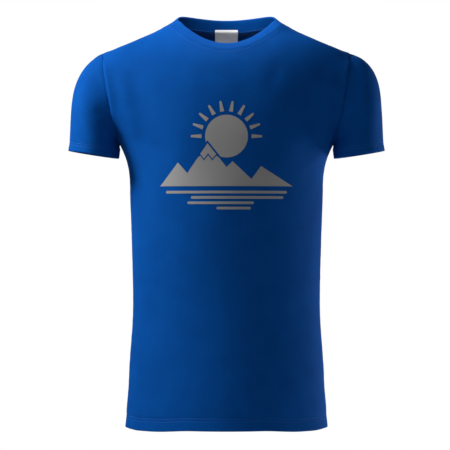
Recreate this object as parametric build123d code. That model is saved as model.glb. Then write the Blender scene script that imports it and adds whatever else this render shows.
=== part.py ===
from build123d import *

import os
from collections import namedtuple
from math import atan2, cos, hypot, pi, radians, sin

# Fitted short-sleeved T-shirt with a crew neck, cut and sewn from single jersey, in the shape that
# it takes on a wearer with the arms down. All sizes are in millimetres.
# The origin lies midway between the two neck points, where the shoulder seams meet the neckband.
# +Z is up, the front faces -Y, and the wearer's left side is at +X. A drop is a distance below the origin.

# Cloth and seams
jersey = 0.9  # thickness of the body and sleeve cloth
rib = 2.2  # thickness of the doubled rib-knit neckband
seam_pile = 1.6  # thickness of an overlocked seam allowance, pressed flat
seam_allowance = 7.0  # width of an overlocked seam allowance
ply_gap = 0.15  # play between two layers of cloth that lie on each other
hem_depth = 23.0  # turned-up cloth at the bottom hem
sleeve_hem_depth = 15.0  # turned-up cloth at the end of a sleeve

# Neck
neck_half_width = 102.0  # neck point to centre line
neck_front_depth = 80.5  # front of the neckline, ahead of the origin
neck_back_depth = 70.0
neck_corner = 50.0  # radius of the neckline's oval at its sides
band_width = 20.0  # height of the neckband along its own slope
band_lean_front = 51.0  # degrees from upright
band_lean_side = 54.0
band_lean_back = 16.0
band_stub = 4.0  # spare length below the seam, before the neckline trims it

# Inside the neckline: how far an allowance and the tape reach out from it, seen from above
neck_seam_reach = 5.0
tape_side_reach = 10.5
tape_back_reach = 7.0

# Shoulders and armholes
shoulder_half_width = 212.0  # shoulder point to centre line
shoulder_drop = 45.0
underarm_half_width = 184.0
underarm_drop = 206.0
underarm_ease = 1.5  # how far the armhole's cut runs on below the underarm

# Sleeves: one row for each cross-section after the armhole seam, seen from the front. The inner end is
# measured out and down from the underarm, and the outer end out and down from the shoulder point.
# front and back are the depths either side of the arm.
Cuff = namedtuple("Cuff", "inner_out inner_down outer_out outer_down front back")
cuffs = [
    Cuff(0.6, 2.2, 40.6, 33.9, 57.5, 60),
    Cuff(0.9, 3.6, 55.3, 83.6, 60, 62),
    Cuff(0.7, 5.2, 58.3, 122.6, 61.5, 63.5),
    Cuff(-0.3, 7.2, 59.7, 154.6, 62, 64),
]

# Body: one row for each level, from the hem up. half_width is half of the width seen from the front.
# front and back are the depths ahead of and behind the side seams. A corner is the radius at the side.
# spread is how many times its thickness a layer of cloth measures at the side when it is cut level,
# from 1 in an upright wall to almost 3 in the slope of a shoulder.
body_length = 695.0  # neck point to hem
waist_drop = 480.0
chest_drop = 250.0
hem_top = body_length - hem_depth
Level = namedtuple("Level", "drop half_width front back front_corner back_corner spread")
levels = [
    Level(body_length, 175.5, 122, 116, 84, 84, 1),
    Level(hem_top, 173.2, 120.5, 112, 83, 82, 1),
    Level((hem_top + waist_drop) / 2, 165.5, 116, 102, 80, 78, 1),
    Level(waist_drop, 160, 112, 94, 78, 74, 1),
    Level((waist_drop + chest_drop) / 2, 162.5, 119, 103, 84, 80, 1),
    Level(chest_drop, 168, 126, 116, 88, 86, 1),
    Level(underarm_drop, underarm_half_width, 126, 119, 86, 84, 1),
    Level(underarm_drop - 56, shoulder_half_width + 4, 120, 119, 76, 78, 1),
    Level(shoulder_drop + 55, shoulder_half_width + 20, 107, 112, 66, 68, 1.1),
    Level(shoulder_drop + 20, shoulder_half_width + 12, 92, 100, 52, 56, 1.6),
    Level(shoulder_drop, shoulder_half_width, 80, 92, 42, 48, 2.3),
    Level(shoulder_drop / 2, (shoulder_half_width + neck_half_width) / 2 + 3, 64, 79, 38, 44, 2.6),
    Level(0, neck_half_width, 48, 64, 34, 40, 2.6),
    Level(-12, neck_half_width - 24, 38, 56, 30, 36, 2.6),
]
depth_spread = 0.15  # share of the spread that a level shows at its front and back

# Label: a folded blank in the back neck seam
label_width = 40.0
label_length = 46.0
label_thickness = 0.7

# Print on the chest. Its own sizes run from its middle, across and up
film = 0.3  # thickness of the transfer film
print_drop = 232.0
print_gap = 3.0  # bare cloth between neighbouring motifs
sun_radius = 36.0
sun_height = 38.0
ray_start = 6.0  # from the sun's edge
ray_length = 18.0
ray_width = 7.0
ray_step = 20  # degrees
ridge_line = [(-112, -46), (-82, -6), (-66, -24), (-32, 26), (0, -14), (10, -4), (42, -34), (58, -12), (112, -46)]
snow_line = [(-54, 2), (-44, 8), (-38, 0), (-31, 9), (-24, 0), (-17, 8), (-8, 2)]
snow_width = 3.0
Water = namedtuple("Water", "drop width shift")
waters = [Water(56, 204, 0), Water(65, 156, 18), Water(74, 112, -10), Water(83, 58, 12)]
water_height = 4.5

# Working sizes
FAR = 2000.0  # past every edge of the shirt
FRONT, BACK = -1, 1
level_spacing = 42.0  # between the rings that the body is drawn through, along its side
armhole_stations = 12  # points round an armhole seam that the sleeve is sewn to
band_stations = 10  # steps along each half of the neckband


def half_oval(half_width, depth, corner, side, z):
    """Three tangent arcs from +X to -X, bulging to the side's own Y: corner, broad middle, corner."""
    broad = (half_width**2 + depth**2 - 2 * half_width * corner) / (2 * (depth - corner))
    ux, uy = half_width - corner, side * (broad - depth)
    length = hypot(ux, uy)
    ux, uy = ux / length, uy / length
    join = (broad * ux, side * (depth - broad) + broad * uy)
    half_turn = atan2(uy, ux) / 2
    bend = (half_width - corner + corner * cos(half_turn), corner * sin(half_turn))
    return [
        Edge.make_three_point_arc((half_width, 0, z), (*bend, z), (*join, z)),
        Edge.make_three_point_arc((*join, z), (0, side * depth, z), (-join[0], join[1], z)),
        Edge.make_three_point_arc((-join[0], join[1], z), (-bend[0], bend[1], z), (-half_width, 0, z)),
    ]


def cubic(at, reach, values, slopes):
    """The value at a distance along a table, from the cubic between the two rows beside it."""
    k = max(i for i in range(len(reach) - 1) if reach[i] <= at + 1e-9)
    span = reach[k + 1] - reach[k]
    t = (at - reach[k]) / span
    return (
        (1 + 2 * t) * (1 - t) ** 2 * values[k]
        + t * (1 - t) ** 2 * span * slopes[k]
        + t**2 * (3 - 2 * t) * values[k + 1]
        - t**2 * (1 - t) * span * slopes[k + 1]
    )


def evened(rows, spacing):
    """The rows of a table resampled at even steps along its outline, with no overshoot between rows."""
    reach = [0.0]
    for low, high in zip(rows, rows[1:]):
        reach.append(reach[-1] + hypot(high.half_width - low.half_width, high.drop - low.drop))
    steps = max(2, round(reach[-1] / spacing))
    wanted = [reach[-1] * k / steps for k in range(steps + 1)]
    columns = []
    for values in zip(*rows):
        rises = [(v - u) / (t - s) for u, v, s, t in zip(values, values[1:], reach, reach[1:])]
        slopes = [rises[0]]
        for before, after in zip(rises, rises[1:]):
            level = before * after <= 0
            slopes.append(0.0 if level else 2 * before * after / (before + after))
        slopes.append(rises[-1])
        columns.append([cubic(at, reach, values, slopes) for at in wanted])
    return [type(rows[0])(*row) for row in zip(*columns)]


def body_ring(row, inset, side):
    """One half of the body's outline at a level, drawn in for the inside of a layer of cloth."""
    depth = row.front if side == FRONT else row.back
    corner = row.front_corner if side == FRONT else row.back_corner
    depth_inset = inset * (1 + depth_spread * (row.spread - 1))
    return half_oval(row.half_width - inset * row.spread, depth - depth_inset, corner - inset, side, -row.drop)


def body_form(inset, rows):
    """The body's closed form through every row, drawn in by inset."""
    return Solid.make_loft([Wire(body_ring(row, inset, FRONT) + body_ring(row, inset, BACK)) for row in rows])


def ply(outline, lining):
    """The closed outline of a layer of cloth, between its outer curves and its inner ones."""
    ends = [Edge.make_line(lining[0] @ 0, outline[0] @ 0), Edge.make_line(outline[-1] @ 1, lining[-1] @ 1)]
    return Wire(outline + ends + lining)


def body_cloth(side, near, far, rows):
    """A front or back layer of cloth between two insets from the body's outside."""
    return Solid.make_loft([ply(body_ring(row, near, side), body_ring(row, far, side)) for row in rows])


def block(x=(-FAR, FAR), y=(-FAR, FAR), z=(-FAR, FAR)):
    """A box between two values on each axis."""
    size = [high - low for low, high in (x, y, z)]
    middle = [(high + low) / 2 for low, high in (x, y, z)]
    return Pos(*middle) * Box(*size)


def neckline(side, z=0.0, grow_side=0.0, grow_depth=0.0):
    """The front or back half of the neckline seen from above, grown outwards at its side and middle."""
    depth = neck_front_depth if side == FRONT else neck_back_depth
    return half_oval(neck_half_width + grow_side, depth + grow_depth, neck_corner, side, z)


def neck_column(grow_side=0.0, grow_depth=0.0):
    """The upright column whose wall is the neckline."""
    halves = [neckline(side, -FAR / 2, grow_side, grow_depth) for side in (FRONT, BACK)]
    return extrude(make_face(halves[0] + halves[1]), FAR)


def armhole_plane(side):
    """The plane of an armhole seam, through the shoulder point and the underarm. Its normal points out."""
    run = shoulder_half_width - underarm_half_width
    rise = underarm_drop - shoulder_drop
    return Plane(
        origin=(side * underarm_half_width, 0, -underarm_drop),
        x_dir=(0, 1, 0),
        z_dir=(side * rise, 0, -run),
    )


def beyond(plane, depth=FAR):
    """All that lies past a plane, on the side that its normal points to, down to a depth."""
    return plane * (Pos(0, 0, depth / 2) * Box(FAR, FAR, depth))


def armhole_oval(form):
    """The outline where a closed body form passes through the left armhole's plane: a front and a back curve."""
    top = Vector(shoulder_half_width, 0, -shoulder_drop)
    low = Vector(underarm_half_width, 0, -underarm_drop)
    centre, up = (top + low) / 2, (top - low).normalized()
    forward, backward = Vector(0, -1, 0), Vector(0, 1, 0)
    points = []
    for k in range(armhole_stations):
        turn = 2 * pi * k / armhole_stations
        out = up * cos(turn) + forward * sin(turn)
        reaches = [(hit[0] - centre).dot(out) for hit in form.find_intersection_points(Axis(centre, out))]
        points.append(centre + out * min(reach for reach in reaches if reach > 0))
    half = armhole_stations // 2
    return [
        Edge.make_spline(points[: half + 1], tangents=[forward, backward]),
        Edge.make_spline(points[half:] + points[:1], tangents=[backward, forward]),
    ]


def cuff_ends(cuff):
    """The inner and outer ends of a cross-section of the left sleeve."""
    inner_end = Vector(underarm_half_width + cuff.inner_out, 0, -underarm_drop - cuff.inner_down)
    outer_end = Vector(shoulder_half_width + cuff.outer_out, 0, -shoulder_drop - cuff.outer_down)
    return inner_end, outer_end


def sleeve_oval(cuff, inset):
    """One cross-section of the left sleeve, as a front and a back half ellipse."""
    inner_end, outer_end = cuff_ends(cuff)
    middle, across = (inner_end + outer_end) / 2, outer_end - inner_end
    radius = across.length / 2 - inset
    halves = []
    for depth, forward, start in ((cuff.front, Vector(0, -1, 0), 1), (cuff.back, Vector(0, 1, 0), -1)):
        u = across.normalized() * start
        broad = radius >= depth - inset
        plane = Plane(origin=middle, x_dir=u if broad else forward, z_dir=u.cross(forward))
        sizes = (radius, depth - inset) if broad else (depth - inset, radius)
        angles = (0, 180) if broad else (-90, 90)
        halves.append(Edge.make_ellipse(*sizes, plane=plane, start_angle=angles[0], end_angle=angles[1]))
    return halves


def sleeve_form(body, inset):
    """The closed form of the left sleeve, fanned out from the armhole of a body form to the hem's stitches."""
    rings = [armhole_oval(body)] + [sleeve_oval(cuff, inset) for cuff in cuffs]
    return Solid.make_loft([Wire(ring) for ring in rings])


def sleeve_hem():
    """The hem of the left sleeve, turned up inside, straight on from its stitches."""
    inner_end, outer_end = cuff_ends(cuffs[-1])
    down = (outer_end - inner_end).normalized().cross(Vector(0, 1, 0))
    ring = make_face(sleeve_oval(cuffs[-1], 0)) - make_face(sleeve_oval(cuffs[-1], 2 * jersey))
    return extrude(ring, sleeve_hem_depth, dir=down if down.Z < 0 else -down)


def band_section(body, base, tangent, lean):
    """The neckband cut across at one point of the neckline, standing on the body and leaning inwards."""
    hits = body.find_intersection_points(Axis((base.X, base.Y, -FAR), (0, 0, 1)))
    seam = Vector(base.X, base.Y, max(hit[0].Z for hit in hits))
    inward = Vector(-tangent.Y, tangent.X, 0).normalized()
    inward = inward if inward.dot(base) < 0 else -inward
    upright = Vector(0, 0, 1)
    rise = inward * sin(radians(lean)) + upright * cos(radians(lean))
    under = inward * cos(radians(lean)) - upright * sin(radians(lean))
    foot, crown = seam - rise * band_stub, seam + rise * band_width
    return Wire.make_polygon([foot, crown, crown + under * rib, foot + under * rib])


def half_band(body, side):
    """The front or back half of the neckband, drawn through even stations from shoulder to shoulder."""
    line = Wire(neckline(side))
    middle_lean = band_lean_front if side == FRONT else band_lean_back
    sections = []
    for k in range(band_stations + 1):
        share = k / band_stations
        lean = band_lean_side + (middle_lean - band_lean_side) * sin(pi * share) ** 2
        sections.append(band_section(body, line @ share, line % share, lean))
    return Solid.make_loft(sections) & neck_column()


def sun_ray(turn):
    """A tapered bar that points away from the sun's middle."""
    start, end, half = sun_radius + ray_start, sun_radius + ray_start + ray_length, ray_width / 2
    return Rot(0, 0, turn) * Polygon((start, -half), (end, -half / 2), (end, half / 2), (start, half), align=None)


def landscape():
    """The flat chest design: a sun with rays behind a mountain ridge with a snow line, above still water."""
    ridge = Polygon(*ridge_line, align=None)
    sky = Rectangle(FAR, FAR) - offset(ridge, print_gap, kind=Kind.INTERSECTION)
    edge = Polygon(*snow_line, *[(x, y - snow_width) for x, y in reversed(snow_line)], align=None)
    disc = Pos(0, sun_height) * Circle(sun_radius)
    rays = [Pos(0, sun_height) * sun_ray(turn) for turn in range(0, 181, ray_step)]
    lines = [Pos(water.shift, -water.drop) * SlotOverall(water.width, water_height) for water in waters]
    return [disc & sky, ridge - edge] + [bar & sky for bar in rays] + lines


# Body panels, split along the shoulder and side seams, with the bottom hem turned up inside
rows = evened(levels[1:], level_spacing)
outer, inner = body_form(0, rows), body_form(jersey, rows)
armholes = [beyond(armhole_plane(side)) & block(z=(-underarm_drop - underarm_ease, FAR)) for side in (1, -1)]
panels = {}
for side in (FRONT, BACK):
    panel = body_cloth(side, 0, jersey, rows) - neck_column() - armholes
    panels[side] = panel + body_cloth(side, 0, 2 * jersey, levels[:2])

# Sleeves
left_sleeve = sleeve_form(outer, 0) - sleeve_form(inner, jersey) + sleeve_hem()

pieces = {
    "front_panel": panels[FRONT],
    "back_panel": panels[BACK],
    "left_sleeve": left_sleeve,
    "right_sleeve": mirror(left_sleeve, about=Plane.YZ),
    "neckband": half_band(outer, FRONT) + half_band(outer, BACK),
}

# Seam allowances and neck tape, one layer of piled cloth against the inside of the panels
lining_face = jersey + ply_gap
lining_back = lining_face + seam_pile
linings = {side: body_cloth(side, lining_face, lining_back, rows) for side in (FRONT, BACK)}
neck_ring = neck_column(neck_seam_reach, neck_seam_reach) - neck_column()
pieces["front_neck_seam"] = linings[FRONT] & neck_ring & block(y=(-FAR, -ply_gap))
tape_ring = neck_column(tape_side_reach, tape_back_reach) - neck_column()
pieces["back_neck_tape"] = linings[BACK] & tape_ring & block(y=(ply_gap, FAR))

seam_strip = linings[BACK] & block(y=(ply_gap, seam_allowance))
seam_end = -underarm_drop - seam_allowance
for side, name in ((1, "left"), (-1, "right")):
    own_half = block(x=(0, FAR)) if side == 1 else block(x=(-FAR, 0))
    seam_plane = armhole_plane(side).offset(-seam_allowance)
    seam_ring = beyond(seam_plane, seam_allowance - ply_gap) & block(z=(seam_end, FAR))
    pieces[f"{name}_armhole_seam"] = (linings[FRONT] & seam_ring) + (linings[BACK] & seam_ring)
    pieces[f"{name}_side_seam"] = seam_strip & own_half & block(z=(-hem_top + ply_gap, seam_end - ply_gap))
    shoulder_strip = seam_strip & own_half & block(z=(-(shoulder_drop + underarm_drop) / 2, FAR))
    shoulder_strip = shoulder_strip - beyond(seam_plane.offset(-ply_gap))
    pieces[f"{name}_shoulder_seam"] = shoulder_strip - neck_column(tape_side_reach + ply_gap, tape_back_reach)

# Label, over the tape and the inside of the back
label_face = lining_back + ply_gap
label_patch = block(x=(-label_width / 2, label_width / 2), z=(-label_length, FAR)) - neck_column()
pieces["neck_label"] = body_cloth(BACK, label_face, label_face + label_thickness, rows) & label_patch

# Print, as separate films on the outside of the front
transfer = body_cloth(FRONT, -ply_gap - film, -ply_gap, rows)
films = []
for motif in landscape():
    prism = extrude(Pos(0, 0, -print_drop) * (Plane.XZ * motif), FAR, both=True)
    films.extend((transfer & prism).solids())
pieces["front_print"] = Compound(films)

os.makedirs("parts", exist_ok=True)
for name, piece in pieces.items():
    export_step(piece, f"parts/{name}.step")
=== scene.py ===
import bpy
import bmesh
from math import cos, hypot, pi, radians, sin

import numpy as np
from mathutils import Matrix, Vector, noise
from mathutils.bvhtree import BVHTree


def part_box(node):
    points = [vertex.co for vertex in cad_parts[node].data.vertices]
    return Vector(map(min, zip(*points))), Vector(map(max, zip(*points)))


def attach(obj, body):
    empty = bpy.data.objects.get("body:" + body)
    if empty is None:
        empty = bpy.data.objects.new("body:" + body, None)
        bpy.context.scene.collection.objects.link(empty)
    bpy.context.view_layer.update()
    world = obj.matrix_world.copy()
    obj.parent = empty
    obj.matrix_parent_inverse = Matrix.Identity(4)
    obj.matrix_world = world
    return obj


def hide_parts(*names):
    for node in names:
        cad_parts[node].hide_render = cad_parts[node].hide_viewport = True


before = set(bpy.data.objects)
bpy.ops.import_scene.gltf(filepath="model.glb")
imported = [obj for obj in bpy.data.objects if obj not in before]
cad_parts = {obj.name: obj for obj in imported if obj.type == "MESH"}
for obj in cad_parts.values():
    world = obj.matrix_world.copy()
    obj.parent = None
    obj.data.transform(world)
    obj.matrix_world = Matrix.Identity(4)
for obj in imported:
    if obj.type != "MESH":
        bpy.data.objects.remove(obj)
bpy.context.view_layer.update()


# Camera, level with the middle of the shirt and square to its front, far enough away that the
# sides hardly show. The photograph is about 780 mm wide and high at the side seams.
CAMERA_AWAY = 4.2
VIEW_CENTRE = Vector((-0.0026, 0.0, -0.3435))
VIEW_SIZE = 0.780
SENSOR_WIDE = 36.0  # millimetres
bpy.ops.object.camera_add(
    location=VIEW_CENTRE - Vector((0, CAMERA_AWAY, 0)), rotation=(radians(90), 0, 0)
)
camera = bpy.context.object
camera.data.sensor_width = SENSOR_WIDE
camera.data.lens = SENSOR_WIDE * CAMERA_AWAY / VIEW_SIZE
bpy.context.scene.camera = camera
bpy.ops.object.select_all(action="DESELECT")


# Jersey: single-knit combed cotton, dyed royal blue in the piece. The loops stand in fine upright
# ribs, called wales, and cross them in courses. The face is matt with a very short nap, so it
# looks paler where it turns away from the eye.
def paint(code):
    """The linear colour of an sRGB hex code"""
    shares = [int(code[k : k + 2], 16) / 255 for k in (1, 3, 5)]
    return [s / 12.92 if s <= 0.04045 else ((s + 0.055) / 1.055) ** 2.4 for s in shares] + [1.0]


def new_material(name, looks):
    """A node material and its shader, set to plain values and joined to its output"""
    material = bpy.data.materials.new(name)
    material.use_nodes = True
    tree = material.node_tree
    tree.nodes.clear()
    shader = add_node(tree, "BsdfPrincipled", looks)
    add_node(tree, "OutputMaterial", {"Surface": shader.outputs["BSDF"]})
    return material, tree, shader


def add_node(tree, kind, inputs=None, **settings):
    """One node with its settings, and its sockets set to a value or linked to an output"""
    made = tree.nodes.new("ShaderNode" + kind)
    for name, value in settings.items():
        setattr(made, name, value)
    for socket, value in (inputs or {}).items():
        if isinstance(value, bpy.types.NodeSocket):
            tree.links.new(value, made.inputs[socket])
        else:
            made.inputs[socket].default_value = value
    return made


# The matt face and short nap that jersey and rib share
COTTON_FACE = {
    "Roughness": 0.86,
    "Specular IOR Level": 0.05,
    "Sheen Weight": 0.05,
    "Sheen Tint": paint("#2F74D6"),
    "Sheen Roughness": 0.45,
}
# A wale is really 0.7 mm wide, and is drawn at 1.6 mm so that it shows. Wales run along V of each
# piece's own UV map, which is in metres.
WALE, COURSE = 0.0016, 0.0013
jersey, tree, shader = new_material("combed cotton jersey", COTTON_FACE)
place = add_node(tree, "UVMap", uv_map="cloth")
split = add_node(tree, "SeparateXYZ", {"Vector": place.outputs["UV"]})
# One loop is a chevron: its two legs lean in towards the middle of the wale
across = add_node(tree, "Math", {0: split.outputs["X"], 1: 1 / WALE}, operation="MULTIPLY")
leg = add_node(tree, "Math", {0: across.outputs[0], 1: 0.5}, operation="PINGPONG")
along = add_node(tree, "Math", {0: split.outputs["Y"], 1: 1 / COURSE}, operation="MULTIPLY")
chevron = add_node(tree, "Math", {0: along.outputs[0], 1: leg.outputs[0]}, operation="ADD")
loop = add_node(tree, "Math", {0: chevron.outputs[0], 1: 0.5}, operation="PINGPONG")
height = add_node(tree, "Math", {0: leg.outputs[0], 1: loop.outputs[0]}, operation="MULTIPLY")
bump = add_node(tree, "Bump", {"Strength": 0.35, "Distance": 0.0005, "Height": height.outputs[0]})
# The dye takes a little unevenly, in clouds about 36 mm wide, and the yarn has paler and darker
# flecks every 1.6 mm
where = add_node(tree, "TexCoord").outputs["Object"]
cloud = add_node(
    tree, "TexNoise", {"Vector": where, "Scale": 28.0, "Detail": 3.0, "Roughness": 0.55}
)
fibre = add_node(
    tree, "TexNoise", {"Vector": where, "Scale": 620.0, "Detail": 2.0, "Roughness": 0.6}
)
both = add_node(
    tree,
    "Mix",
    {"Factor": 0.45, "A": cloud.outputs["Fac"], "B": fibre.outputs["Fac"]},
    data_type="FLOAT",
)
shade = add_node(tree, "MapRange", {"Value": both.outputs[0], "From Min": 0.3, "From Max": 0.7})
colour = add_node(
    tree,
    "Mix",
    {"Factor": shade.outputs[0], 6: paint("#00428C"), 7: paint("#004B9A")},
    data_type="RGBA",
)
tree.links.new(colour.outputs[2], shader.inputs["Base Color"])
tree.links.new(bump.outputs["Normal"], shader.inputs["Normal"])


# Front and back panels: two pieces of jersey, each cut in one from hem to shoulder, sewn together
# along the shoulders and sides. The bottom hem is turned up 23 mm inside. Worn, the cloth is
# drawn smooth over the chest and back, with a few soft folds from the armpits and at the waist.
MM = 0.001
HEM = -0.695
HEM_TURN = 0.023
JERSEY_THICK = 0.0009
FOLD_RADIUS = 0.001  # of the cloth where the hem turns up
UNDERARM = Vector((0.184, 0, -0.206))
SHOULDER = Vector((0.212, 0, -0.045))
FRONT, BACK = -1, 1
OUTSIDE = 0.45  # a distance from the body's axis that is clear of it


def search_tree(*pieces):
    """A ray-casting tree over the meshes of some pieces"""
    mesh = bmesh.new()
    for piece in pieces:
        mesh.from_mesh(piece.data)
    tree = BVHTree.FromBMesh(mesh)
    mesh.free()
    return tree


body_tree = search_tree(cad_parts["front_panel"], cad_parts["back_panel"])


def on_body(turn, z):
    """The point on the outside of the body at an angle and height, or None in an opening"""
    out = Vector((cos(turn), sin(turn), 0))
    return body_tree.ray_cast(out * OUTSIDE + Vector((0, 0, z)), -out, OUTSIDE - MM)[0]


def last_good(test, good, bad, steps=22):
    """The value nearest to bad at which a test still holds, by halving"""
    for _ in range(steps):
        middle = (good + bad) / 2
        if test(middle):
            good = middle
        else:
            bad = middle
    return good


def spaced(stops):
    """Values from one stop to the next, each stretch cut into equal steps: (end, steps) pairs"""
    values = [stops[0]]
    for end, steps in stops[1:]:
        start = values[-1]
        values += [start + (end - start) * k / steps for k in range(1, steps + 1)]
    return values


# Places across half a panel from its middle (0) to its side (1), and up it from hem (0) to neck
# (1). They lie closer together at the seams.
HALF_COLUMNS = spaced([0.0, (0.93, 46), (0.9935, 6), (1.0, 2)])
UNDERARM_SHARE = (UNDERARM.z - HEM) / -HEM
SHOULDER_SHARE = (SHOULDER.z - HEM) / -HEM
PANEL_ROWS = spaced(
    [
        0.0015,
        (0.0200, 4),
        (0.0345, 12),
        (0.0400, 1),
        (UNDERARM_SHARE - 0.006, 104),
        (UNDERARM_SHARE + 0.006, 14),
        (UNDERARM_SHARE + 0.030, 10),
        (SHOULDER_SHARE - 0.030, 32),
        (SHOULDER_SHARE - 0.006, 10),
        (SHOULDER_SHARE + 0.004, 10),
        (0.992, 28),
        (1.0, 5),
    ]
)
# The turned-up hem: heights above the edge, and how far in the skin of the cloth lies
HEM_PROFILE = [(up, 2 * FOLD_RADIUS) for up in (HEM_TURN, 0.019, 0.015, 0.011, 0.007, 0.0035)]
for step in range(0, 181, 30):
    lean = radians(step)
    HEM_PROFILE.append((FOLD_RADIUS * (1 - sin(lean)), FOLD_RADIUS * (1 + cos(lean))))
HEM_ROWS = len(HEM_PROFILE) - 1  # rows of a panel that are turned up, below its own first row
LOWEST_ROWS = 12  # rows that the turned-up cloth repeats. Its last few millimetres go straight up
SEAM_EDGE = 0.0006  # the angle at which a panel ends at its shoulder and side seams
SIDE_SHARE = 0.99  # rows below this end at the side seam or armhole, and not at the neckline


def panel_points(side):
    """The panel's outside skin from hem to neck, as rows of points from right to left"""
    turns = [SEAM_EDGE + (pi / 2 - SEAM_EDGE) * k / 180 for k in range(181)]
    tops = [last_good(lambda z: on_body(side * turn, z), -0.12, 0.03) for turn in turns]
    rows = []
    for share in PANEL_ROWS:

        def place(turn, lower=0.0):
            top = float(np.interp(turn, turns, tops)) - lower
            return on_body(side * turn, HEM + share * (top - HEM))

        edge = SEAM_EDGE
        if place(edge) is None and share < SIDE_SHARE:
            edge = last_good(place, 0.9, edge)
        half = []
        for column in HALF_COLUMNS:
            turn = pi / 2 - column * (pi / 2 - edge)
            point = place(turn)
            # A ray that misses the cloth at its very edge is moved until it meets it
            while point is None and share < SIDE_SHARE:
                turn += 0.0002
                point = place(turn)
            lower = 0.0
            while point is None:
                lower += 0.00005
                point = place(turn, lower)
            half.append(point)
        half[0].x = 0
        mirrored = [Vector((-p.x, p.y, p.z)) for p in reversed(half[1:])]
        rows.append(mirrored + half)
    return np.array(rows)


def grid_normals(points, outward):
    """Unit normals of a grid of points, each on the side that its outward vector points to"""
    normals = np.cross(np.gradient(points, axis=1), np.gradient(points, axis=0))
    normals /= np.linalg.norm(normals, axis=2, keepdims=True) + 1e-12
    flip = np.sign(np.sum(normals * outward, axis=2, keepdims=True))
    flip[flip == 0] = 1
    return normals * flip


def reach_along(points, axis):
    """Distance along each line of a grid from its first point"""
    steps = np.linalg.norm(np.diff(points, axis=axis), axis=2)
    total = np.cumsum(steps, axis=axis)
    return np.insert(total, 0, 0, axis=axis)


def smooth_step(value, low, high):
    """0 below low, 1 above high, and smooth between"""
    share = np.clip((value - low) / (high - low), 0, 1)
    return share * share * (3 - 2 * share)


FOLD_FADE = 0.15  # share of a fold's length over which it fades past each end


def folds_at(across, up, folds):
    """The height of soft folds at places on a piece. A fold is a line between two places, with its
    width and its height in millimetres. It is highest at its middle and fades past its ends."""
    total = np.zeros_like(across)
    for x0, z0, x1, z1, width, height in folds:
        length = hypot(x1 - x0, z1 - z0)
        ux, uz = (x1 - x0) / length, (z1 - z0) / length
        along = (across - x0) * ux + (up - z0) * uz
        aside = (across - x0) * -uz + (up - z0) * ux
        rise = np.clip(along / length, -FOLD_FADE, 1 + FOLD_FADE)
        taper = np.cos((rise - 0.5) * pi / (1 + 2 * FOLD_FADE)) ** 2
        total += height * taper * np.exp(-((aside / width) ** 2))
    return total


def ripple(points, scale, seed):
    """A slow unevenness, from -1 to 1, the same on every run"""
    flat = points.reshape(-1, 3)
    shift = Vector((seed, seed * 0.7, 0))
    values = [noise.noise(Vector(p) / scale + shift) for p in flat]
    return np.array(values).reshape(points.shape[:2])


# Folds as x0, z0, x1, z1, width and height, in millimetres, seen from the front
FRONT_FOLDS = [
    (-62, -70, -84, -300, 48, 5.0),
    (88, -80, 100, -280, 50, 2.5),
    (-186, -70, -150, -215, 11, 1.9),
    (-168, -60, -128, -190, 13, -1.5),
    (-182, -200, -118, -262, 9, 1.7),
    (-178, -186, -96, -226, 11, -1.3),
    (-176, -232, -132, -318, 10, -1.4),
    (-166, -240, -146, -372, 9, 1.3),
    (186, -80, 158, -214, 11, 1.7),
    (170, -66, 136, -184, 12, -1.3),
    (182, -202, 122, -258, 9, 1.6),
    (178, -188, 104, -222, 11, -1.2),
    (174, -236, 138, -330, 10, -1.3),
    (150, -420, 60, -500, 22, 1.0),
    (-150, -438, -40, -520, 24, 1.1),
    (-130, -585, 20, -660, 26, 1.2),
    (140, -560, 30, -650, 24, -1.0),
    (-92, -48, -60, -120, 13, -0.9),
    (96, -52, 66, -128, 13, -0.9),
    (-30, -110, 26, -116, 16, 0.7),
]
BACK_FOLDS = [
    (-184, -204, -104, -268, 10, 1.7),
    (-176, -190, -92, -222, 12, -1.4),
    (184, -202, 110, -274, 10, 1.6),
    (178, -186, 96, -216, 12, -1.4),
    (-60, -66, 70, -74, 14, 1.3),
    (-84, -92, 92, -98, 16, -1.0),
    (-150, -420, 10, -462, 20, 2.0),
    (150, -436, -20, -478, 20, 1.9),
    (-140, -462, 40, -506, 18, -1.6),
    (146, -396, 20, -430, 18, -1.5),
    (-120, -530, 60, -560, 22, 1.4),
    (-164, -80, -140, -196, 12, 1.5),
    (166, -84, 138, -198, 12, 1.4),
]


def object_of(name, mesh):
    """An object in the scene, made of a bmesh"""
    data = bpy.data.meshes.new(name)
    mesh.to_mesh(data)
    mesh.free()
    piece = bpy.data.objects.new(name, data)
    bpy.context.scene.collection.objects.link(piece)
    return piece


def cloth_mesh(name, points, uvs, outward_sign):
    """An object made of one grid of points, with its own UV map in metres"""
    mesh = bmesh.new()
    layer = mesh.loops.layers.uv.new("cloth")
    corners = [[mesh.verts.new(p) for p in row] for row in points]
    for i in range(len(points) - 1):
        for j in range(len(points[0]) - 1):
            ring = [(i, j), (i, j + 1), (i + 1, j + 1), (i + 1, j)]
            if outward_sign < 0:
                ring.reverse()
            face = mesh.faces.new([corners[row][column] for row, column in ring])
            face.smooth = True
            for loop, (row, column) in zip(face.loops, ring):
                loop[layer].uv = uvs[row][column]
    return object_of(name, mesh)


def thicken(piece, thickness):
    """Gives a sheet its thickness, inwards from its outside skin"""
    bpy.ops.object.select_all(action="DESELECT")
    piece.select_set(True)
    bpy.context.view_layer.objects.active = piece
    wall = piece.modifiers.new("thickness", "SOLIDIFY")
    wall.thickness = thickness
    wall.offset = -1
    bpy.ops.object.modifier_apply(modifier=wall.name)
    bpy.ops.object.shade_smooth_by_angle(angle=radians(50))
    bpy.ops.object.select_all(action="DESELECT")


def dress(piece, material):
    """Gives a piece its material and slot, and makes it move with the shirt"""
    piece.data.materials.clear()
    piece.data.materials.append(material)
    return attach(piece, "root")


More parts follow.
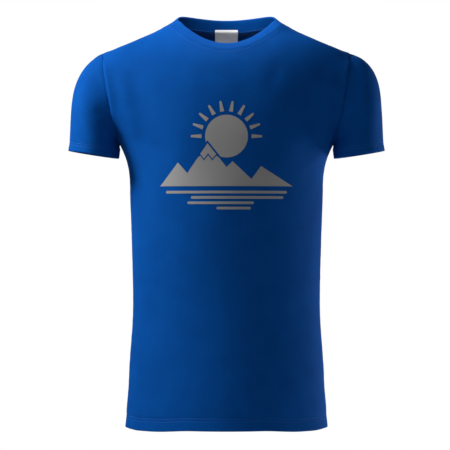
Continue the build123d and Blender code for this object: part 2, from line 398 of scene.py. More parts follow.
def hem_lift(points):
    """The bottom edge is drawn up a little, most in the middle and at the side seams"""
    x, z = np.abs(points[:, :, 0]), points[:, :, 2]
    lift = 0.0035 * (1 - smooth_step(x, 0.060, 0.130)) + 0.0025 * smooth_step(x, 0.150, 0.176)
    return lift * (1 - smooth_step(z, HEM, HEM + 0.09))


# The worn shoulder sinks between neck and sleeve: distance from the middle in metres, and how far
# it sinks in millimetres
SHOULDER_SINK = [
    (0.106, -0.5),
    (0.120, -1.0),
    (0.132, -0.6),
    (0.141, 0.4),
    (0.150, 1.8),
    (0.159, 3.8),
    (0.167, 5.0),
    (0.176, 5.7),
    (0.185, 5.7),
    (0.193, 5.3),
    (0.199, 4.4),
    (0.204, 2.8),
    (0.208, 1.2),
    (0.212, 0.0),
]
SINK_REACH = 0.035  # to the front and back of the seam


def shoulder_sink(points):
    """How far each place sinks beside the shoulder seam"""
    x, y, z = np.abs(points[:, :, 0]), points[:, :, 1], points[:, :, 2]
    places, depths = zip(*SHOULDER_SINK)
    sink = np.interp(x, places, depths, left=0.0, right=0.0) * MM
    return sink * np.exp(-((y / SINK_REACH) ** 2)) * smooth_step(z, -0.110, -0.062)


def by_armhole(up):
    """1 beside the armhole's front and back edges, and 0 at its top and bottom, by height in mm"""
    return smooth_step(up, -192, -150) * (1 - smooth_step(up, -76, -42))


# Small shapes of the cloth: heights in millimetres, and in metres how wide or how far they reach
UNEVEN, UNEVEN_WIDE = 0.8, 0.075
GROOVE, GROOVE_WIDE = 0.12, 0.0020  # that every seam is sewn in
PUCKER, PUCKER_WIDE, PUCKER_REACH = 0.35, 0.011, 0.007  # beside every seam
ARMHOLE_FILL, ARMHOLE_REACH = 5.0, 0.010  # where the body curves over into the sleeve
SHOULDER_FILL, SHOULDER_REACH = 3.0, 0.016  # at the outer end of the shoulder seam
HEM_PULL, PULL_WIDE = 0.4, 0.0013  # by the stitches
HEM_WAVE, WAVE_LONG, WAVE_HIGH = 1.4, 34, 130  # all three in millimetres
# In metres: the hem's two rows of stitches above the bottom edge, how far the worn back neckline
# rides up, and how far down the back that reaches
HEM_STITCHES = (0.0210, 0.0165)
NECK_RISE, RISE_REACH = 0.006, 0.075
SIDE_EASE = 0.012  # share by which the worn body is fuller at its sides than the cut
# Places on the UV maps, in metres and above zero: a panel's middle, and a piece's first edge
UV_MIDDLE, UV_EDGE = 0.3, 0.05


def sewn_in(relief, points, distance, seed):
    """A relief with the groove of a seam and the small puckers beside it"""
    relief = relief - GROOVE * np.exp(-((distance / GROOVE_WIDE) ** 2))
    near = np.exp(-((distance / PUCKER_REACH) ** 2))
    return relief + PUCKER * ripple(points, PUCKER_WIDE, seed + 9) * near * (distance > 0)


def shape_panel(side, folds, seed):
    """The panel's outside skin with its folds, the hem turned up, and the UV of every point"""
    points = panel_points(side)
    axis_out = points.copy()
    axis_out[:, :, 2] = 0
    normals = grid_normals(points, axis_out)
    along = reach_along(points, 1)
    from_side = np.minimum(along, along[:, -1:] - along)
    climb = reach_along(points, 0)
    from_neck = climb[-1:, :] - climb
    from_seam = np.minimum(from_side, from_neck)
    across, up = points[:, :, 0] / MM, points[:, :, 2] / MM
    relief = folds_at(across, up, folds) + UNEVEN * ripple(points, UNEVEN_WIDE, seed)
    relief *= smooth_step(from_seam, 0.002, 0.030)
    relief = sewn_in(relief, points, from_seam, seed)
    # The cloth runs over from the body into the sleeve in a soft curve along the armhole
    relief += ARMHOLE_FILL * by_armhole(up) * np.exp(-from_side / ARMHOLE_REACH)
    tip = points.copy()
    tip[:, :, 0] = np.abs(tip[:, :, 0])
    from_tip = np.linalg.norm(tip - np.array(SHOULDER), axis=2)
    relief += SHOULDER_FILL * np.exp(-from_tip / SHOULDER_REACH)
    for above in HEM_STITCHES:
        relief -= HEM_PULL * np.exp(-(((climb - above) / PULL_WIDE) ** 2))
    low = 1 - smooth_step(up, HEM / MM, HEM / MM + WAVE_HIGH)
    wave = HEM_WAVE * np.sin(across / WAVE_LONG + seed) * low
    relief += wave * smooth_step(from_side, 0.004, 0.05)
    skin = points + normals * (relief * MM)[:, :, None]
    skin[:, :, 2] += hem_lift(points) - shoulder_sink(points)
    down = -points[:, :, 2]
    ease = SIDE_EASE * smooth_step(down, 0.22, 0.30) * (1 - smooth_step(down, 0.58, 0.66))
    skin[:, :, 0] *= 1 + ease
    if side == BACK:
        columns = np.arange(points.shape[1])
        from_end = np.minimum(columns, columns[::-1]) / len(HALF_COLUMNS)
        ride = NECK_RISE * smooth_step(from_end, 0.08, 0.36)
        skin[:, :, 2] += ride[None, :] * (1 - smooth_step(from_neck, 0.0, RISE_REACH))
    # The turned-up hem repeats the skin's lowest rows, set in towards the body
    turned = []
    lowest = skin[:LOWEST_ROWS]
    heights = lowest[:, :, 2] - lowest[:1, :, 2]
    for above, inset in HEM_PROFILE[:HEM_ROWS]:
        row = []
        for j in range(points.shape[1]):
            over = above - FOLD_RADIUS
            spot = [np.interp(over, heights[:, j], lowest[:, j, k]) for k in range(3)]
            spot[2] = lowest[0, j, 2] + above - FOLD_RADIUS
            row.append(np.array(spot) - normals[3, j] * inset)
        turned.append(row)
    skin = np.concatenate([np.array(turned), skin])
    u = along - along[:, len(HALF_COLUMNS) - 1][:, None] + UV_MIDDLE
    u = np.concatenate([np.repeat(u[:1], HEM_ROWS, axis=0), u])
    below = [[-above - FOLD_RADIUS * 2] * points.shape[1] for above, _ in HEM_PROFILE[:HEM_ROWS]]
    v = np.concatenate([np.array(below), climb]) + UV_EDGE
    return skin, np.stack([u, v], axis=2)


front_skin, front_uv = shape_panel(FRONT, FRONT_FOLDS, 1.3)
back_skin, back_uv = shape_panel(BACK, BACK_FOLDS, 4.1)
front = cloth_mesh("front_panel_cloth", front_skin, front_uv, 1)
back = cloth_mesh("back_panel_cloth", back_skin, back_uv, -1)
for panel, node in ((front, "front_panel"), (back, "back_panel")):
    thicken(panel, JERSEY_THICK)
    dress(panel, jersey)
    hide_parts(node)


# Sleeves: one piece of jersey each, folded round the arm and sewn into the armhole. The seam runs
# under the arm. The end is turned up 15 mm inside and held by two rows of stitches.
SLEEVE_TURN = 0.015
# Inner and outer ends, in millimetres, of the sections that give the left sleeve its shape
SLEEVE_LINE = [
    (184.0, -206.0, 212.0, -45.0),
    (184.6, -208.2, 252.6, -78.9),
    (184.9, -209.6, 267.3, -128.6),
    (184.7, -211.2, 270.3, -167.6),
    (183.7, -213.2, 271.7, -199.6),
    (186.0, -228.0, 274.0, -214.4),
]
SLEEVE_STITCHES = (0.0135, 0.0095)  # above the sleeve's edge
SLEEVE_ROUND = 112
SLEEVE_SHARES = spaced(
    [0.0, (0.02, 3), (0.2, 12), (0.4, 14), (0.6, 10), (0.8, 8), (0.985, 16), (0.997, 1)]
)
sleeve_tree = search_tree(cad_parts["left_sleeve"])


def sleeve_section(share):
    """The middle of a sleeve section and its direction outwards, from armhole (0) to edge (1)"""
    place = share * (len(SLEEVE_LINE) - 1)
    k = min(int(place), len(SLEEVE_LINE) - 2)
    low, high = SLEEVE_LINE[k], SLEEVE_LINE[k + 1]
    mix = [a + (b - a) * (place - k) for a, b in zip(low, high)]
    inner = Vector((mix[0], 0, mix[1])) * MM
    outer = Vector((mix[2], 0, mix[3])) * MM
    return (inner + outer) / 2, (outer - inner).normalized()


def sleeve_points():
    """The left sleeve's outside skin, from armhole to edge, each row starting at the underarm"""
    rows = []
    for share in SLEEVE_SHARES:
        centre, across = sleeve_section(share)
        row = []
        for k in range(SLEEVE_ROUND + 1):
            turn = 2 * pi * k / SLEEVE_ROUND
            out = across * -cos(turn) + Vector((0, -1, 0)) * sin(turn)
            lining = None
            # A ray that misses the cloth at its very edge starts a little further out along it
            slide = 0.0
            while lining is None:
                start = centre + Vector((slide, 0, -slide * 0.17))
                lining = sleeve_tree.ray_cast(start, out, 0.2)[0]
                slide += 0.00015
            outside = sleeve_tree.ray_cast(lining + out * 0.0001, out, 0.003)[0]
            row.append(outside if outside else lining)
        rows.append(row)
    return np.array(rows)


def armhole_line():
    """The left armhole's edge on both panels, as one closed line of points"""
    low = HEM_ROWS + sum(share < UNDERARM_SHARE - 0.001 for share in PANEL_ROWS)
    high = HEM_ROWS + sum(share < SHOULDER_SHARE + 0.001 for share in PANEL_ROWS)
    return np.concatenate([front_skin[low:high, -1], back_skin[low:high, -1][::-1]])


def onto_line(point, line):
    """The nearest point to one on a closed line of points"""
    start, run = line, np.roll(line, -1, axis=0) - line
    share = np.sum((point - start) * run, axis=1) / (np.sum(run * run, axis=1) + 1e-15)
    spots = start + run * np.clip(share, 0, 1)[:, None]
    return spots[np.argmin(np.linalg.norm(spots - point, axis=1))]


# Folds by place round the sleeve in degrees, 0 at the underarm, 90 at the front and 180 on top, and
# by distance down it. The wide ones make the left sleeve fuller on top, and the right one flatter.
LEFT_SLEEVE_FOLDS = [
    (180, 10, 180, 110, 70, 2.5),
    (38, 6, 74, 118, 9, 1.6),
    (58, 4, 96, 96, 9, -1.3),
    (24, 10, 44, 90, 7, -1.2),
    (300, 8, 262, 110, 10, 1.5),
    (322, 6, 286, 92, 9, -1.2),
    (150, 60, 120, 150, 14, 0.9),
]
RIGHT_SLEEVE_FOLDS = [
    (180, -10, 180, 80, 70, -2.0),
    (42, 6, 66, 112, 10, 1.5),
    (64, 4, 104, 104, 10, -1.4),
    (22, 12, 36, 84, 7, -1.0),
    (304, 8, 268, 104, 10, 1.4),
    (326, 6, 290, 96, 9, -1.3),
    (140, 44, 108, 138, 13, 1.0),
]


SLEEVE_UNEVEN, SLEEVE_UNEVEN_WIDE = 0.7, 0.06
SLEEVE_PULL = 0.35  # millimetres, by the stitches


def shape_sleeve(points, folds, seed, mirrored):
    """A sleeve's skin with folds and a turned-up end, the UV of every point, and how many of its
    rows lie outside"""
    normals = grid_normals(points, points - points.mean(axis=1, keepdims=True))
    down = reach_along(points, 0)
    along = reach_along(points, 1)
    turn = np.broadcast_to(np.linspace(0, 360, SLEEVE_ROUND + 1), down.shape)
    drop = np.broadcast_to(down[:, SLEEVE_ROUND // 2][:, None], down.shape)
    relief = folds_at(turn, drop / MM, folds)
    relief += SLEEVE_UNEVEN * ripple(points, SLEEVE_UNEVEN_WIDE, seed)
    from_underarm = np.minimum(turn, 360 - turn)
    relief *= smooth_step(drop, 0.003, 0.024)
    relief *= smooth_step(from_underarm, 4, 24)
    relief = sewn_in(relief, points, down, seed)
    to_edge = down[-1:] - down
    for above in SLEEVE_STITCHES:
        relief -= SLEEVE_PULL * np.exp(-(((to_edge - above) / PULL_WIDE) ** 2))
    skin = points + normals * (relief * MM)[:, :, None]
    # The first row is drawn onto the armhole's edge, so that the seam is closed, and the cloth
    # below it follows, for longer on top than under the arm
    sewn = np.array([onto_line(p, armhole) for p in skin[0]])
    hold = np.exp(-down / (0.010 + 0.005 * smooth_step(from_underarm, 60, 150)))
    skin += (sewn - skin[0])[None, :, :] * hold[:, :, None]
    # The end folds in along the way that the last rows fall
    edge = skin[-1]
    fall = edge - skin[-5]
    fall /= np.linalg.norm(fall, axis=1, keepdims=True)
    rows, vs = [], []
    for step in range(30, 181, 30):
        lean = radians(step)
        inset = normals[-1] * FOLD_RADIUS * (1 - cos(lean))
        rows.append(edge + fall * FOLD_RADIUS * sin(lean) - inset)
        vs.append(down[-1] + FOLD_RADIUS * lean)
    for above in (0.0035, 0.007, 0.011, SLEEVE_TURN):
        rows.append(edge - fall * above - normals[-1] * 2 * FOLD_RADIUS)
        vs.append(down[-1] + above)
    skin = np.concatenate([skin, np.array(rows)])
    v = np.concatenate([down, np.array(vs)])
    u = np.concatenate([along, np.broadcast_to(along[-1], (len(rows), along.shape[1]))])
    if mirrored:
        skin = skin * np.array([-1.0, 1.0, 1.0])
    return skin, np.stack([u + UV_EDGE, 0.5 - v], axis=2), len(down)


def weld(piece, turn_out=False):
    """Joins the points of a piece where its grid closes on itself, and can turn its faces out"""
    mesh = bmesh.new()
    mesh.from_mesh(piece.data)
    bmesh.ops.remove_doubles(mesh, verts=mesh.verts, dist=0.00002)
    if turn_out:
        bmesh.ops.recalc_face_normals(mesh, faces=mesh.faces)
    mesh.to_mesh(piece.data)
    mesh.free()


sleeve_skin = sleeve_points()
sleeve_outsides = []
armhole = armhole_line()
# Both sleeves are shaped from the same skin, each with folds of its own, and the right one is
# mirrored
for name, folds, seed, mirrored in (
    ("left_sleeve", LEFT_SLEEVE_FOLDS, 2.2, False),
    ("right_sleeve", RIGHT_SLEEVE_FOLDS, 7.9, True),
):
    skin, uv, outside_rows = shape_sleeve(sleeve_skin, folds, seed, mirrored)
    sleeve_outsides.append(skin[:outside_rows][::-1])
    sleeve = cloth_mesh(name + "_cloth", skin, uv, 1 if mirrored else -1)
    weld(sleeve)
    thicken(sleeve, JERSEY_THICK)
    dress(sleeve, jersey)
    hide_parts(name)


# Neckband: a strip of 1x1 rib knit, folded double and sewn round the neckline a little stretched,
# so that it stands up at the back and leans in at the front and sides. Its ribs run across it.
BAND_WIDTH = 0.020
BAND_THICK = 0.0022
BAND_FOLD = 0.0013  # radius of the band's upper edge
BAND_STATIONS = 260
BAND_SMOOTHINGS = 14
LEAN_FRONT, LEAN_SIDE, LEAN_BACK = 51.0, 70.0, 16.0  # degrees


def reach_of(line):
    """Distance along a line of points from its first, for each point"""
    reach = [0.0]
    for a, b in zip(line, line[1:]):
        reach.append(reach[-1] + (b - a).length)
    return reach


def spot_at(at, reach, points):
    """The coordinates at one distance along a line of points"""
    return [float(np.interp(at, reach, [p[k] for p in points])) for k in range(3)]


def neck_loop():
    """The neckline as a closed loop from the left neck point, and the band's lean at each point"""
    front_line = [Vector(p) for p in front_skin[-1]][::-1]
    back_line = [Vector(p) for p in back_skin[-1]]
    points, leans = [], []
    for line, lean_middle, rate in ((front_line, LEAN_FRONT, 2), (back_line, LEAN_BACK, 0.7)):
        reach = reach_of(line)
        for point, at in zip(line[:-1], reach):
            share = at / reach[-1]
            lean = LEAN_SIDE + (lean_middle - LEAN_SIDE) * sin(pi * share) ** rate
            points.append(point)
            leans.append(radians(lean))
    return points + points[:1], leans + leans[:1]


neck_points, neck_leans = neck_loop()
neck_reach = reach_of(neck_points)
band_length = neck_reach[-1]
station_reach = [band_length * k / BAND_STATIONS for k in range(BAND_STATIONS)]
band_leans = [float(np.interp(at, neck_reach, neck_leans)) for at in station_reach]
band_line = np.array([spot_at(at, neck_reach, neck_points) for at in station_reach])
# A light smoothing, so that the joins between panels leave no corner
for _ in range(BAND_SMOOTHINGS):
    band_line = (np.roll(band_line, 1, axis=0) + 2 * band_line + np.roll(band_line, -1, axis=0)) / 4
# The band's skin as height along its slope and depth under its outside, out of the seam, over the
# folded edge, and down inside. The outside swells a little between seam and edge.
BAND_PROFILE = [(-0.0035, 0.0012), (-0.0015, 0.0007), (0.0, 0.0001), (0.0012, -0.0004)]
BAND_PROFILE += [(0.003, -0.0008), (0.006, -0.0010), (0.009, -0.0010), (0.012, -0.0010)]
BAND_PROFILE += [(0.015, -0.0010), (0.0172, -0.0008)]
for step in range(0, 181, 30):
    lean = radians(step)
    height = BAND_WIDTH - BAND_FOLD + BAND_FOLD * sin(lean)
    BAND_PROFILE.append((height, 0.0007 - BAND_FOLD * cos(lean)))
BAND_PROFILE += [(h, BAND_THICK) for h in (0.016, 0.012, 0.008, 0.004, 0.0, -0.0035)]
stations = []
for k in range(BAND_STATIONS + 1):
    here = Vector(band_line[k % BAND_STATIONS])
    ahead = Vector(band_line[(k + 1) % BAND_STATIONS])
    behind = Vector(band_line[(k - 1) % BAND_STATIONS])
    run = ahead - behind
    inward = Vector((-run.y, run.x, 0)).normalized()
    if inward.dot(Vector((here.x, here.y, 0))) > 0:
        inward = -inward
    lean = band_leans[k % BAND_STATIONS]
    rise = inward * sin(lean) + Vector((0, 0, cos(lean)))
    under = inward * cos(lean) - Vector((0, 0, sin(lean)))
    stations.append((here, rise, under))
band_rows, band_uv = [], []
for height, depth in BAND_PROFILE:
    band_rows.append([here + rise * height + under * depth for here, rise, under in stations])
    v = height + (2 * UV_EDGE if depth == BAND_THICK else UV_EDGE)
    us = [band_length * k / BAND_STATIONS + UV_EDGE for k in range(len(stations))]
    band_uv.append([(u, v) for u in us])
band = cloth_mesh("neckband_rib", band_rows, band_uv, 1)
weld(band, turn_out=True)
rib_knit, tree, shader = new_material("1x1 rib-knit cotton", {**COTTON_FACE, "Roughness": 0.88})
place = add_node(tree, "UVMap", uv_map="cloth")
split = add_node(tree, "SeparateXYZ", {"Vector": place.outputs["UV"]})
# A rib is really 1.2 mm wide, and is drawn at 2 mm so that it shows
RIB = 0.002
ribs = add_node(tree, "Math", {0: split.outputs["X"], 1: 2 * pi / RIB}, operation="MULTIPLY")
ridge = add_node(tree, "Math", {0: ribs.outputs[0]}, operation="SINE")
bump = add_node(tree, "Bump", {"Strength": 0.4, "Distance": 0.0004, "Height": ridge.outputs[0]})
where = add_node(tree, "TexCoord").outputs["Object"]
cloud = add_node(
    tree, "TexNoise", {"Vector": where, "Scale": 60.0, "Detail": 4.0, "Roughness": 0.6}
)
colour = add_node(
    tree,
    "Mix",
    {"Factor": cloud.outputs["Fac"], 6: paint("#003F88"), 7: paint("#004996")},
    data_type="RGBA",
)
tree.links.new(colour.outputs[2], shader.inputs["Base Color"])
tree.links.new(bump.outputs["Normal"], shader.inputs["Normal"])
dress(band, rib_knit)
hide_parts("neckband")


# Stitches: two rows of polyester thread hold each hem, sewn by twin needles, and one row runs
# round the neckline just outside the band. Each stitch is a short, round bar that dips at its ends.
STITCH_PITCH = 0.0036
STITCH_LONG = 0.0029
STITCH_THICK = 0.00055
STITCH_PROUD = 0.22  # share of the thread's thickness by which its middle stands off the cloth
NECK_STITCHES = 0.0045  # below the neckline
bpy.ops.mesh.primitive_uv_sphere_add(segments=6, ring_count=4, radius=1)
stitch_model = bpy.context.object
stitch_model.scale = (STITCH_LONG / 2, STITCH_THICK / 2, STITCH_THICK / 2)
bpy.ops.object.transform_apply(location=False, rotation=False, scale=True)
stitch_data = stitch_model.data.copy()
bpy.data.objects.remove(stitch_model)


def stitch_row(mesh, line, normals):
    """Stitches in even steps along a line of points, lying on the cloth"""
    reach = reach_of(line)
    count = int(reach[-1] / STITCH_PITCH)
    for k in range(count):
        at = (k + 0.5) * reach[-1] / count
        start = Vector(spot_at(max(at - STITCH_LONG / 2, 0), reach, line))
        end = Vector(spot_at(min(at + STITCH_LONG / 2, reach[-1]), reach, line))
        out = Vector(spot_at(at, reach, normals)).normalized()
        run = (end - start).normalized()
        side = out.cross(run).normalized()
        turn = Matrix((run, side, run.cross(side))).transposed().to_4x4()
        place = Matrix.Translation((start + end) / 2 + out * STITCH_THICK * STITCH_PROUD) @ turn
        stitch = stitch_data.copy()
        stitch.transform(place)
        mesh.from_mesh(stitch)
        bpy.data.meshes.remove(stitch)


def stitch_line(skin, distance, centre):
    """The line on a grid at a distance from its first row, with the outward normals there"""
    reach = reach_along(skin, 0)
    normals = grid_normals(skin, skin - centre)
    row = int(np.argmin(np.abs(reach.mean(axis=1) - distance)))
    columns = range(skin.shape[1])
    line = [Vector(spot_at(distance, reach[:, j], skin[:, j])) for j in columns]
    return line, [Vector(normals[row, j]) for j in columns]


thread, tree, shader = new_material(
    "spun polyester thread", {"Roughness": 0.55, "Specular IOR Level": 0.4}
)
where = add_node(tree, "TexCoord").outputs["Object"]
# The thread's plies twist round each other once in 0.7 mm
twist = add_node(
    tree,
    "TexWave",
    {"Vector": where, "Scale": 900.0, "Distortion": 2.0},
    bands_direction="DIAGONAL",
)
colour = add_node(
    tree,
    "Mix",
    {"Factor": twist.outputs["Fac"], 6: paint("#0850A6"), 7: paint("#1E66BC")},
    data_type="RGBA",
)
tree.links.new(colour.outputs[2], shader.inputs["Base Color"])


def stitch_piece(name, rows):
    """One object that holds several rows of stitches"""
    mesh = bmesh.new()
    for line, normals in rows:
        stitch_row(mesh, line, normals)
    for face in mesh.faces:
        face.smooth = True
    return dress(object_of(name, mesh), thread)


EDGE_ROWS = 24  # rows of a skin, from its edge, that reach past the stitches there
INSIDE_BODY = np.array([0, 0, -0.6])  # a place that both necklines face away from
hem_rows, neck_rows = [], []
for skin in (front_skin, back_skin):
    low_part = skin[HEM_ROWS:][:EDGE_ROWS]
    inside = low_part.copy()
    inside[:, :, :2] = 0
    hem_rows += [stitch_line(low_part, above - FOLD_RADIUS, inside) for above in HEM_STITCHES]
    neck_rows.append(stitch_line(skin[::-1][:EDGE_ROWS], NECK_STITCHES, INSIDE_BODY))
stitch_piece("hem_stitches", hem_rows)
stitch_piece("neck_stitches", neck_rows)
for name, skin in zip(("left_sleeve_stitches", "right_sleeve_stitches"), sleeve_outsides):
    low_part = skin[:EDGE_ROWS]
    middle = low_part.mean(axis=1, keepdims=True)
    stitch_piece(name, [stitch_line(low_part, above, middle) for above in SLEEVE_STITCHES])


# Print: grey plastisol ink, screen-printed on the chest and cured flat. It lies on the knit and
# follows every fold, and it has a dull, slightly rubbery face.
PRINT_CELL = 0.005
PRINT_OVER = 0.0004
PRINT_THICK = 0.0002


def slice_up(mesh, axis, start, end, cell):
    """Cuts a mesh across one axis at even steps, so that it can follow a curve"""
    way = Vector([float(k == axis) for k in range(3)])
    at = start + cell / 2
    while at < end:
        everything = [*mesh.verts, *mesh.edges, *mesh.faces]
        bmesh.ops.bisect_plane(
            mesh, geom=everything, plane_co=way * at, plane_no=way, dist=0.00002
        )
        at += cell


film = bmesh.new()
film.from_mesh(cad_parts["front_print"].data)
bmesh.ops.remove_doubles(film, verts=film.verts, dist=0.00001)
film.normal_update()
bmesh.ops.delete(film, geom=[f for f in film.faces if f.normal.y > -0.5], context="FACES")
print_low, print_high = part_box("front_print")
slice_up(film, 0, print_low.x, print_high.x, PRINT_CELL)
slice_up(film, 2, print_low.z, print_high.z, PRINT_CELL)
front_tree = search_tree(front)
for vert in film.verts:
    before = Vector((vert.co.x, -0.4, vert.co.z))
    hit, way, _, _ = front_tree.ray_cast(before, Vector((0, 1, 0)), 0.4)
    if hit:
        vert.co = hit + way * PRINT_OVER
for face in film.faces:
    face.smooth = True
ink_layer = object_of("front_print_ink", film)
thicken(ink_layer, PRINT_THICK)
ink, tree, shader = new_material(
    "cured plastisol ink", {"Roughness": 0.62, "Specular IOR Level": 0.3}
)
where = add_node(tree, "TexCoord").outputs["Object"]
grain = add_node(
    tree, "TexNoise", {"Vector": where, "Scale": 700.0, "Detail": 2.0, "Roughness": 0.5}
)
# The knit shows faintly through the film, drawn at the same coarse scale as the wales
bump = add_node(
    tree, "Bump", {"Strength": 0.15, "Distance": 0.0003, "Height": grain.outputs["Fac"]}
)
colour = add_node(
    tree,
    "Mix",
    {"Factor": grain.outputs["Fac"], 6: paint("#8C8C8C"), 7: paint("#989898")},
    data_type="RGBA",
)
tree.links.new(colour.outputs[2], shader.inputs["Base Color"])
tree.links.new(bump.outputs["Normal"], shader.inputs["Normal"])
dress(ink_layer, ink)
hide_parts("front_print")


# Neck tape: a narrow strip of herringbone twill that covers the back neck seam from one shoulder
# to the other, in the body's blue.
TAPE_WIDE = 0.010
TAPE_THICK = 0.0005
TAPE_STEPS = 6  # across its width
TAPE_SHORT = 3  # columns of the panel by which it ends short of each shoulder seam
TAPE_DEPTH, TAPE_FALL = 0.0024, 0.0010  # over the band's allowance, and less on the panel below
tape_rows, tape_uv = [], []
for step in range(TAPE_STEPS + 1):
    down = TAPE_WIDE * step / TAPE_STEPS
    depth = TAPE_DEPTH - TAPE_FALL * step / TAPE_STEPS
    line, ways = stitch_line(back_skin[::-1][:EDGE_ROWS], down, INSIDE_BODY)
    row = [spot - way * depth for spot, way in zip(line, ways)][TAPE_SHORT:-TAPE_SHORT]
    tape_rows.append(row)
    tape_uv.append([(spot.x + UV_MIDDLE, UV_MIDDLE - down) for spot in row])
tape = cloth_mesh("back_neck_tape_strip", tape_rows, tape_uv, 1)
thicken(tape, TAPE_THICK)
twill, tree, shader = new_material("cotton herringbone twill tape", {"Roughness": 0.8})
where = add_node(tree, "TexCoord").outputs["Object"]
split = add_node(tree, "SeparateXYZ", {"Vector": where})
# A row of the herringbone is drawn 4 mm wide, and each float of yarn at 1.2 mm so that it shows
HERRING_ROW, YARN_FLOAT = 0.004, 0.0012
row_place = add_node(tree, "Math", {0: split.outputs["X"], 1: HERRING_ROW}, operation="PINGPONG")
slant = add_node(tree, "Math", {0: row_place.outputs[0], 1: split.outputs["Z"]}, operation="ADD")
stripe = add_node(tree, "Math", {0: slant.outputs[0], 1: 2 * pi / YARN_FLOAT}, operation="MULTIPLY")
swell = add_node(tree, "Math", {0: stripe.outputs[0]}, operation="SINE")
bump = add_node(tree, "Bump", {"Strength": 0.4, "Distance": 0.0003, "Height": swell.outputs[0]})
fleck = add_node(tree, "MapRange", {"Value": swell.outputs[0], "From Min": -1.0, "From Max": 1.0})
colour = add_node(
    tree,
    "Mix",
    {"Factor": fleck.outputs[0], 6: paint("#003C80"), 7: paint("#004890")},
    data_type="RGBA",
)
tree.links.new(colour.outputs[2], shader.inputs["Base Color"])
tree.links.new(bump.outputs["Normal"], shader.inputs["Normal"])
dress(tape, twill)
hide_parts("back_neck_tape")


# Label: a soft woven satin ribbon, folded at its top and sewn into the back neck seam. It is left
# blank, and hangs against the inside of the back with its free end a little away from the cloth.
LABEL_WIDE, LABEL_LONG = 0.040, 0.039
LABEL_COLUMNS, LABEL_ROWS = 14, 18
LABEL_THICK = 0.0005
LABEL_OFF = 0.0033  # from the back panel, over the neck tape
LABEL_CURL, LABEL_WARP = 0.0022, 0.0006  # how far the free end stands off, and how it twists
seam_middle = back_skin[-1, len(HALF_COLUMNS) - 1]
label_top = float(seam_middle[2]) + 0.0030
back_tree = search_tree(back)
label_rows, label_uv = [], []
for i in range(LABEL_ROWS + 1):
    free = 1 - i / LABEL_ROWS
    z = label_top - LABEL_LONG * free
    row, row_uv = [], []
    for j in range(LABEL_COLUMNS + 1):
        share = j / LABEL_COLUMNS
        x = -LABEL_WIDE / 2 + LABEL_WIDE * j / LABEL_COLUMNS
        start = Vector((x, 0, min(z, label_top - 0.004)))
        hit = back_tree.ray_cast(start, Vector((0, 1, 0)), 0.3)[0]
        curl = LABEL_CURL * free**2 + LABEL_WARP * free * sin(share * pi * 1.5)
        row.append(Vector((x, hit.y - LABEL_OFF - curl, z)))
        row_uv.append((x + 0.1, z + 0.2))
    label_rows.append(row)
    label_uv.append(row_uv)
label = cloth_mesh("neck_label_ribbon", label_rows, label_uv, 1)
thicken(label, LABEL_THICK)
satin, tree, shader = new_material(
    "woven polyester satin", {"Roughness": 0.45, "Sheen Weight": 0.2}
)
place = add_node(tree, "UVMap", uv_map="cloth")
split = add_node(tree, "SeparateXYZ", {"Vector": place.outputs["UV"]})
# A thread is really 0.2 mm wide, and is drawn at 0.8 mm so that it shows
SATIN_THREAD = 0.0008
waves = []
for way in ("X", "Y"):
    turns = {0: split.outputs[way], 1: 2 * pi / SATIN_THREAD}
    run = add_node(tree, "Math", turns, operation="MULTIPLY")
    waves.append(add_node(tree, "Math", {0: run.outputs[0]}, operation="SINE").outputs[0])
weave = add_node(tree, "Math", {0: waves[0], 1: waves[1]}, operation="MULTIPLY")
bump = add_node(tree, "Bump", {"Strength": 0.3, "Distance": 0.0002, "Height": weave.outputs[0]})
fleck = add_node(tree, "MapRange", {"Value": weave.outputs[0], "From Min": -1.0, "From Max": 1.0})
colour = add_node(
    tree,
    "Mix",
    {"Factor": fleck.outputs[0], 6: paint("#F2F3F5"), 7: paint("#FCFCFD")},
    data_type="RGBA",
)
tree.links.new(colour.outputs[2], shader.inputs["Base Color"])
tree.links.new(bump.outputs["Normal"], shader.inputs["Normal"])
dress(label, satin)
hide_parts("neck_label")


# Seam allowances: the cut edges inside the shirt, overlocked together and pressed to one side.
# The thread wraps them in close slanting loops.
overlock, tree, shader = new_material("overlocked jersey edge", {"Roughness": 0.75})
where = add_node(tree, "TexCoord").outputs["Object"]
slanted = add_node(tree, "Mapping", {"Vector": where, "Rotation": (0.6, 0.4, 0.5)})
# Loops of thread really lie 2.5 mm apart, and are drawn at 5 mm so that they show
loops = add_node(
    tree,
    "TexWave",
    {"Vector": slanted.outputs["Vector"], "Scale": 63.0, "Distortion": 0.6, "Detail": 1.0},
)
bump = add_node(
    tree, "Bump", {"Strength": 0.6, "Distance": 0.0006, "Height": loops.outputs["Fac"]}
)
colour = add_node(
    tree,
    "Mix",
    {"Factor": loops.outputs["Fac"], 6: paint("#003478"), 7: paint("#0A4FA2")},
    data_type="RGBA",
)
tree.links.new(colour.outputs[2], shader.inputs["Base Color"])
tree.links.new(bump.outputs["Normal"], shader.inputs["Normal"])
for name in (
    "front_neck_seam",
    "left_side_seam",
    "right_side_seam",
    "left_armhole_seam",
    "right_armhole_seam",
):
    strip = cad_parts[name]
    strip.data.materials.clear()
    strip.data.materials.append(overlock)
# The shoulder seams sink with the cloth that they join
STRIP_CELL = 0.006
for name in ("left_shoulder_seam", "right_shoulder_seam"):
    mesh = bmesh.new()
    mesh.from_mesh(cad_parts[name].data)
    low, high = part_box(name)
    slice_up(mesh, 0, low.x, high.x, STRIP_CELL)
    sinks = shoulder_sink(np.array([[vert.co[:] for vert in mesh.verts]]))[0]
    for vert, sink in zip(mesh.verts, sinks):
        vert.co.z -= sink
    strip = dress(object_of(name + "_strip", mesh), overlock)
    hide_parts(name)


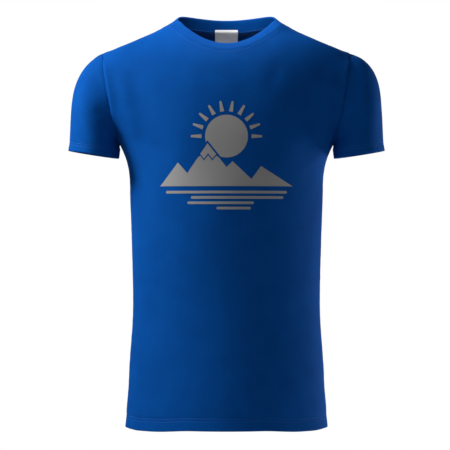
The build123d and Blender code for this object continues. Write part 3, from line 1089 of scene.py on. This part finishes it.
# Floor and light: a pale floor far below, as under a wearer, and a white surround. A soft lamp
# stands beside and above the shirt at the viewer's left and leaves its middle in soft shade, large
# weak ones fill it from front, back and above, one lights its right edge, and one its neck.
FLOOR_DROP = 1.45
bpy.ops.mesh.primitive_circle_add(
    vertices=96, radius=2.6, fill_type="NGON", location=(0, 0, -FLOOR_DROP)
)
floor = bpy.context.object
floor.name = "floor"
bpy.ops.object.transform_apply(location=True)
pale, tree, shader = new_material("pale studio floor", {"Roughness": 0.9})
where = add_node(tree, "TexCoord").outputs["Object"]
grain = add_node(tree, "TexNoise", {"Vector": where, "Scale": 3.0, "Detail": 2.0})
colour = add_node(
    tree,
    "Mix",
    {"Factor": grain.outputs["Fac"], 6: paint("#F0F0EF"), 7: paint("#F6F6F5")},
    data_type="RGBA",
)
tree.links.new(colour.outputs[2], shader.inputs["Base Color"])
rays = add_node(tree, "LightPath")
share = add_node(tree, "Math", {0: rays.outputs["Is Camera Ray"], 1: 0.62}, operation="MULTIPLY")
lit = add_node(tree, "Emission", {"Color": (1, 1, 1, 1), "Strength": 1.0})
both = add_node(
    tree, "MixShader", {0: share.outputs[0], 1: shader.outputs["BSDF"], 2: lit.outputs["Emission"]}
)
tree.links.new(both.outputs["Shader"], tree.nodes["Material Output"].inputs["Surface"])
floor.data.materials.append(pale)
bpy.ops.object.select_all(action="DESELECT")
LAMPS_FACE = Vector((0, 0, -0.33))  # the middle of the shirt


def lamp(name, place, size, power):
    """A square soft lamp that faces the middle of the shirt"""
    bpy.ops.object.light_add(type="AREA", location=place)
    made = bpy.context.object
    made.name = name
    made.data.size = size
    made.data.energy = power
    made.rotation_euler = (LAMPS_FACE - Vector(place)).to_track_quat("-Z", "Y").to_euler()


lamp("key lamp", (-1.25, -0.23, 0.58), 0.5, 32)
lamp("front fill", (-0.5, -3.4, 0.6), 1.6, 10)
lamp("right rim", (1.9, 0.85, -0.7), 0.8, 26)
lamp("back fill", (0.4, 3.0, 0.6), 1.8, 22)
lamp("top fill", (-0.3, -1.3, 2.2), 0.8, 7)
lamp("neck light", (0.0, -0.03, 0.14), 0.08, 0.45)

world = bpy.data.worlds.new("white surround")
bpy.context.scene.world = world
world.use_nodes = True
tree = world.node_tree
tree.nodes.clear()
rays = add_node(tree, "LightPath")
level = add_node(
    tree, "MapRange", {"Value": rays.outputs["Is Camera Ray"], "To Min": 0.10, "To Max": 1.0}
)
glow = add_node(tree, "Background", {"Color": (1, 1, 1, 1), "Strength": level.outputs[0]})
add_node(tree, "OutputWorld", {"Surface": glow.outputs["Background"]})
bpy.context.scene.view_settings.view_transform = "Standard"
